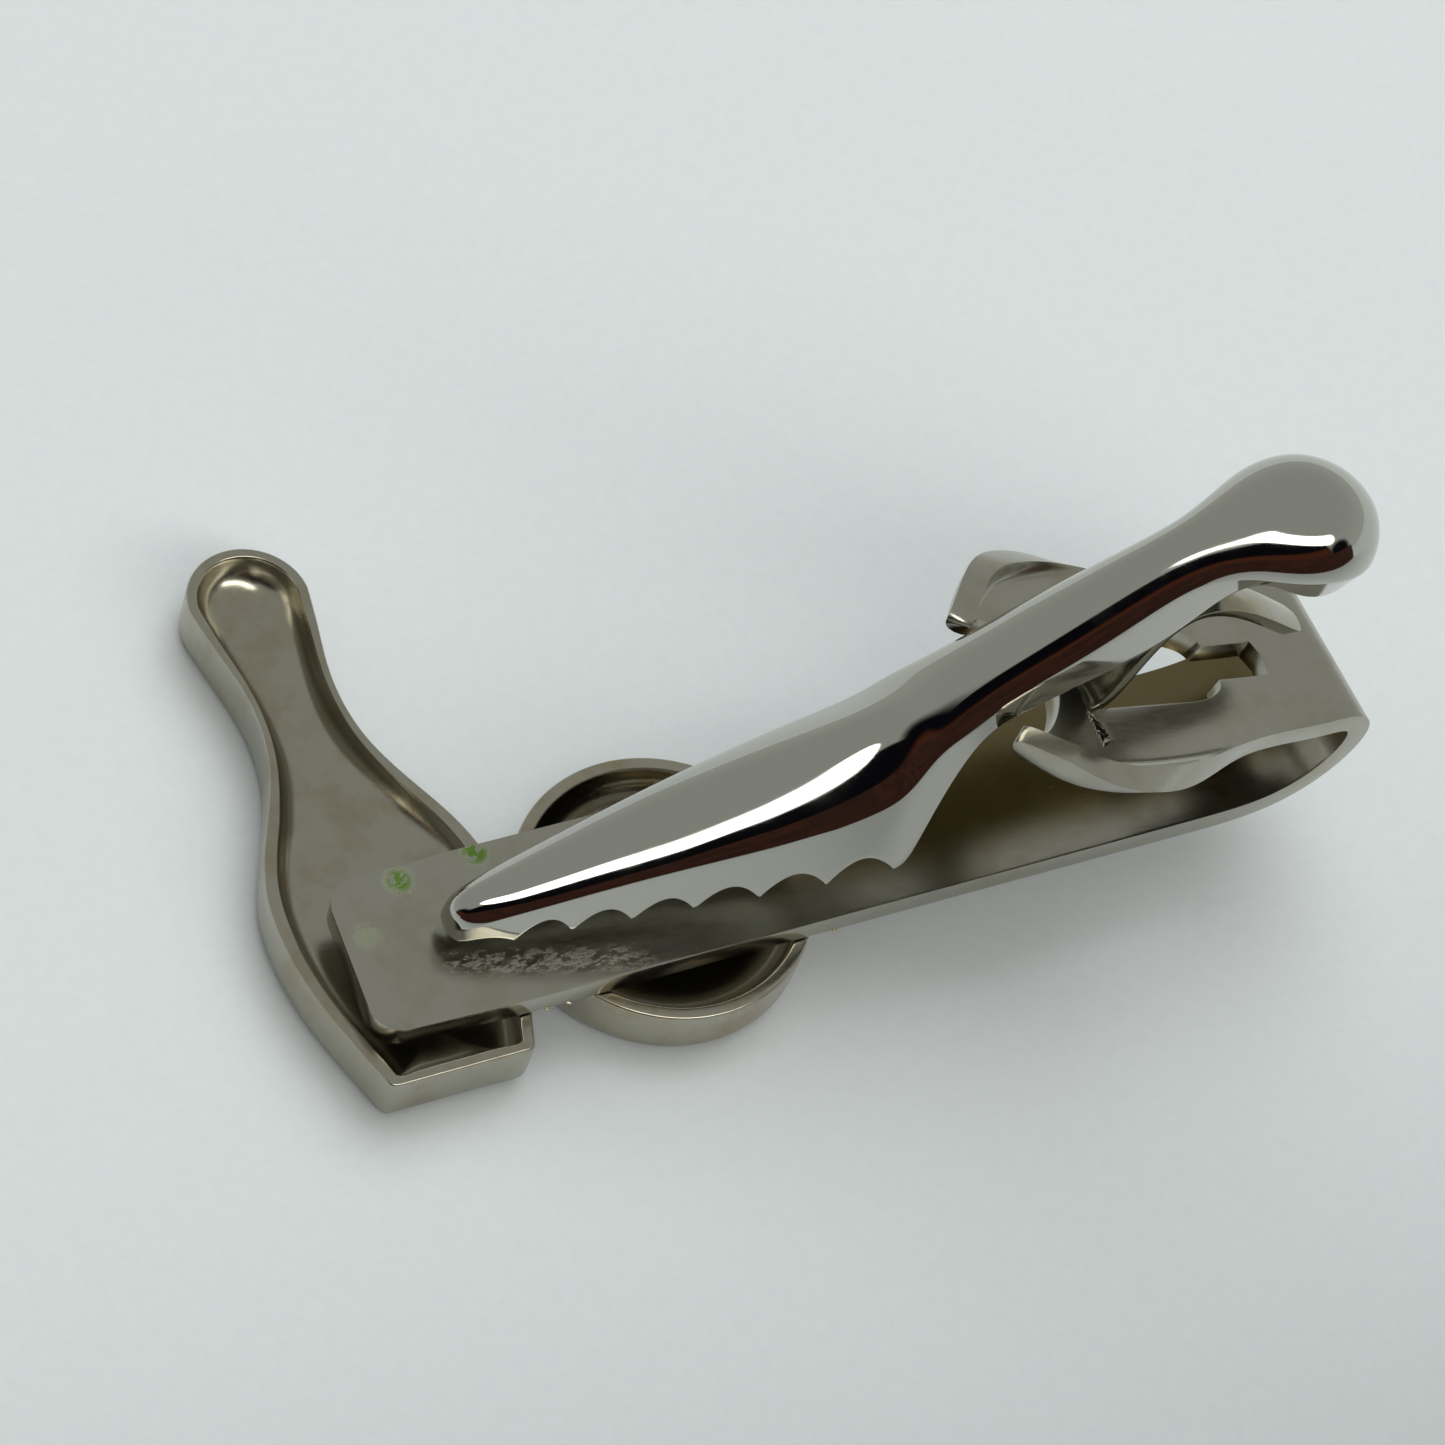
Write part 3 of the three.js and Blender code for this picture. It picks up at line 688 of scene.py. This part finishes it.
# From nose to tail: ridge x and height, rim x and height, half width, height of the
# rounded top, and how far the skirts tuck in.
lever_stations = [
    [-9.08, 2.05, -9.08, 1.72, 0.0, 0.3, 0.0], [-9.06, 2.65, -9.05, 1.72, 0.48, 0.7, 0.0],
    [-8.7, 3.15, -8.75, 1.7, 0.82, 1.0, 0.0], [-7.9, 3.55, -8.1, 1.6, 1.0, 1.1, 0.0],
    [-6.7, 3.97, -6.95, 1.4, 1.14, 1.2, 0.0], [-5.3, 4.45, -5.6, 1.48, 1.33, 1.32, 0.0],
    [-3.9, 4.95, -4.2, 1.58, 1.52, 1.45, 0.0], [-2.5, 5.42, -2.85, 1.68, 1.71, 1.6, 0.0],
    [-1.1, 5.88, -1.45, 1.78, 1.9, 1.8, 0.0], [0.3, 6.37, 0.0, 1.88, 2.1, 2.0, 0.0],
    [1.7, 6.86, 1.4, 1.98, 2.3, 2.2, 0.0], [3.1, 7.36, 2.8, 2.1, 2.5, 2.38, 0.0],
    [4.5, 7.88, 4.2, 2.25, 2.68, 2.5, 0.0], [5.6, 8.35, 5.4, 2.4, 2.82, 2.5, 0.0],
    [6.5, 8.82, 6.5, 2.5, 2.9, 2.4, 0.0], [7.1, 9.18, 7.15, 2.75, 2.86, 2.3, 0.0],
    [7.6, 9.52, 7.75, 4.2, 2.55, 2.15, 0.0], [8.1, 9.9, 8.4, 6.4, 2.2, 2.0, 0.0],
    [8.7, 10.4, 9.1, 8.5, 1.95, 1.85, 0.0], [9.5, 11.02, 9.95, 9.3, 1.8, 1.65, 0.0],
    [10.4, 11.68, 10.9, 9.5, 1.74, 1.6, 0.0], [11.5, 12.45, 12.1, 10.1, 1.72, 1.6, 0.0],
    [12.8, 13.33, 13.7, 10.7, 1.67, 1.6, 0.0], [14.1, 14.2, 15.3, 11.1, 1.56, 1.5, 0.02],
    [15.3, 14.95, 16.6, 12.0, 1.46, 1.4, 0.05], [16.4, 15.52, 17.6, 13.1, 1.48, 1.35, 0.1],
    [17.4, 16.0, 18.4, 13.85, 1.72, 1.45, 0.15], [18.4, 16.48, 19.2, 13.95, 2.08, 1.8, 0.2],
    [19.4, 16.85, 20.0, 13.55, 2.4, 2.1, 0.22], [20.5, 17.05, 20.9, 13.0, 2.6, 2.35, 0.24],
    [21.7, 16.95, 21.9, 12.65, 2.6, 2.45, 0.24], [22.9, 16.35, 22.9, 12.65, 2.25, 2.2, 0.22],
    [23.8, 15.45, 23.7, 12.95, 1.6, 1.5, 0.15], [24.25, 14.6, 24.15, 13.3, 0.75, 0.8, 0.05],
    [24.28, 14.2, 24.22, 13.6, 0.0, 0.3, 0.0],
]

# The toothed front is spread wider and sits closer to the bar than the plain channel.
front_spread = 0.16
ridge_settle = 0.165
rim_raise = 0.407 * 0.97
# How much of the half width the shoulder keeps, and of the round top its height, on the
# toothed front and on the neck.
front_shoulder, neck_shoulder = 0.79, 0.89
front_top, neck_top = 0.585, 0.78
front_lean, neck_lean, bulb_lean = 0.5, 0.35, 0.05
ridge_half, broadest_ridge, bulb_ridge = 0.98, 0.5, 0.55
# Behind the teeth the top grows taller over narrower shoulders, up to the waist: ridge x,
# half width at the shoulder, height of the top, lean of the sides, breadth of the ridge.
waist = {
    0.3: (1.9, 1.25, 0.52, 0.48), 1.7: (2.05, 1.42, 0.54, 0.43), 3.1: (2.16, 1.6, 0.57, 0.4),
    4.5: (2.23, 1.76, 0.6, 0.38), 5.6: (2.24, 1.88, 0.62, 0.37), 6.5: (2.18, 1.88, 0.62, 0.37),
    7.1: (2.06, 1.76, 0.56, 0.4), 7.6: (1.88, 1.38, 0.48, 0.47), 8.1: (1.78, 1.38, 0.4, 0.5),
}


def soft_step(x, start, end):
    t = min(max((x - start) / (end - start), 0.0), 1.0)
    return t * t * (3 - 2 * t)


def lever_section(station):
    """One station with its top worked out: shoulder, top, rim, lean and ridge breadth."""
    ridge_x, ridge_z, rim_x, rim_z, half, arch, tuck = station
    front = soft_step(ridge_x, -9.0, -6.3) * (1 - soft_step(ridge_x, 6.2, 8.6))
    bulb = soft_step(ridge_x, 15.5, 18.5)
    stem = 1 - bulb
    wide = half * (1 + front_spread * front)
    shoulder = wide * ((front_shoulder * front + neck_shoulder * (1 - front)) * stem + bulb)
    top = arch * ((front_top * front + neck_top * (1 - front)) * stem + bulb)
    slope = (front_lean * front + neck_lean * (1 - front)) * stem + bulb_lean * bulb
    breadth = min(broadest_ridge, ridge_half / max(shoulder, 0.1)) * stem + bulb_ridge * bulb
    if ridge_x in waist:
        shoulder, top, slope, breadth = waist[ridge_x]
    return [
        ridge_x, ridge_z - ridge_settle * half * front, rim_x, rim_z + rim_raise * half * front,
        shoulder, top, wide * (1 - tuck), slope, breadth,
    ]


lever_sections = [lever_section(station) for station in lever_stations]
teeth = 7
tooth_depth = 0.75
# The share of each side, from rim to ridge, that the flat skirt takes.
skirt_share = 0.36


def tooth_tip(k):
    return -6.95 + 1.95 * k + 0.05 * k ** 2


def tooth_lift(x):
    """How far the rim is cut back at x, between one tooth's tip and the next."""
    for k in range(-1, teeth - 1):
        start, end = tooth_tip(k), tooth_tip(k + 1)
        if start <= x < end:
            rise = math.sin(math.pi * (x - start) / (end - start)) ** 0.85
            return tooth_depth * rise * (0.35 if k < 0 else 1.0)
    return 0.0


def lever_place(u, v):
    """Flat skirts from the rim to the shoulder, and one smooth curve over the ridge."""
    ridge_x, ridge_z, rim_x, rim_z, shoulder, top, rim, slope, breadth = flow(lever_sections, u)
    shoulder, rim = max(0.0, shoulder), max(0.0, rim)
    up_x, up_z = ridge_x - rim_x, ridge_z - rim_z
    depth = math.hypot(up_x, up_z)
    up_x, up_z = up_x / depth, up_z / depth
    crown = depth - min(top, depth - 0.05)
    side = -1 if v < 0.5 else 1
    f = min(v, 1 - v) / 0.5
    if f < skirt_share:
        lift = min(tooth_lift(rim_x), 0.8 * crown)
        d = lift + (crown - lift) * f / skirt_share
        y = rim + (shoulder - rim) * d / crown
    else:
        up, down = (f - skirt_share) / (1 - skirt_share), (1 - f) / (1 - skirt_share)
        rise = 0.55 * (depth - crown)
        y = down ** 3 * shoulder + 3 * down ** 2 * up * (shoulder - rise * math.tan(slope))
        y = y + 3 * down * up ** 2 * breadth * shoulder
        d = depth - down ** 3 * (depth - crown) - 3 * down ** 2 * up * (depth - crown - rise)
    return (rim_x + up_x * d, strip_y + side * y, strip_z + rim_z + up_z * d)


lever = pressed_grid("lever", 420, 72, lever_place)
bpy.ops.object.mode_set(mode="EDIT")
bpy.ops.mesh.normals_make_consistent(inside=False)
bpy.ops.object.mode_set(mode="OBJECT")
thicken(lever, lever_wall, lever_edge)

mirror = Finish("polished_lever_plate", 1.0, 0.05, (0.47, 0.465, 0.42))
mirror_haze = mirror.noise(0.5, 4.0, 0.6)
mirror.set("Roughness", mirror_haze.ramp(0.45, 0.8) * 0.07 + 0.045)
mirror.set("Normal", mirror.relief(mirror.noise(0.9, 2.0, 0.4), 0.004, 0.25))
mirror.give(lever)
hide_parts("jaw_lever")
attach(lever, "lever")

# ---------------------------------------------------------------------------
# Solder. Soft solder run along the rims under the bar; it stands out a little
# past the bar's two edges.
# ---------------------------------------------------------------------------

bead_half = (0.48, 3.3, 0.2)
solder_metal = plate("soft_solder", 0.22, (0.60, 0.56, 0.42), (0.45, 0.36, 0.2))


def solder_run(name, node, centre, bow):
    """A flattened bead as long as the bar is wide, bowed to follow the rim below it."""
    deselect()
    bpy.ops.mesh.primitive_uv_sphere_add(segments=32, ring_count=24, radius=1.0)
    bead = bpy.context.object
    bead.name = name
    for corner in bead.data.vertices:
        x, y, z = corner.co
        wobble = 1 + 0.12 * math.sin(7 * y + 3 * x) + 0.08 * math.sin(11 * y)
        corner.co = Vector((
            centre[0] + bead_half[0] * x * wobble + bow * (y ** 2 - 1),
            centre[1] + bead_half[1] * y, centre[2] + bead_half[2] * z * wobble,
        )) * MM
    bpy.ops.object.shade_smooth()
    solder_metal.give(bead)
    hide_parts(node)
    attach(bead, "clip_base")


rim_top = cup_high[2] / MM + 0.02
solder_run("solder_on_pin", "solder_joint_pin", (-6.15, strip_y, rim_top), -0.75)
solder_run("solder_ball_left", "solder_joint_ball_left", (-5.2, strip_y, rim_top), 1.05)
solder_run("solder_ball_right", "solder_joint_ball_right", (5.2, strip_y, rim_top), -1.05)
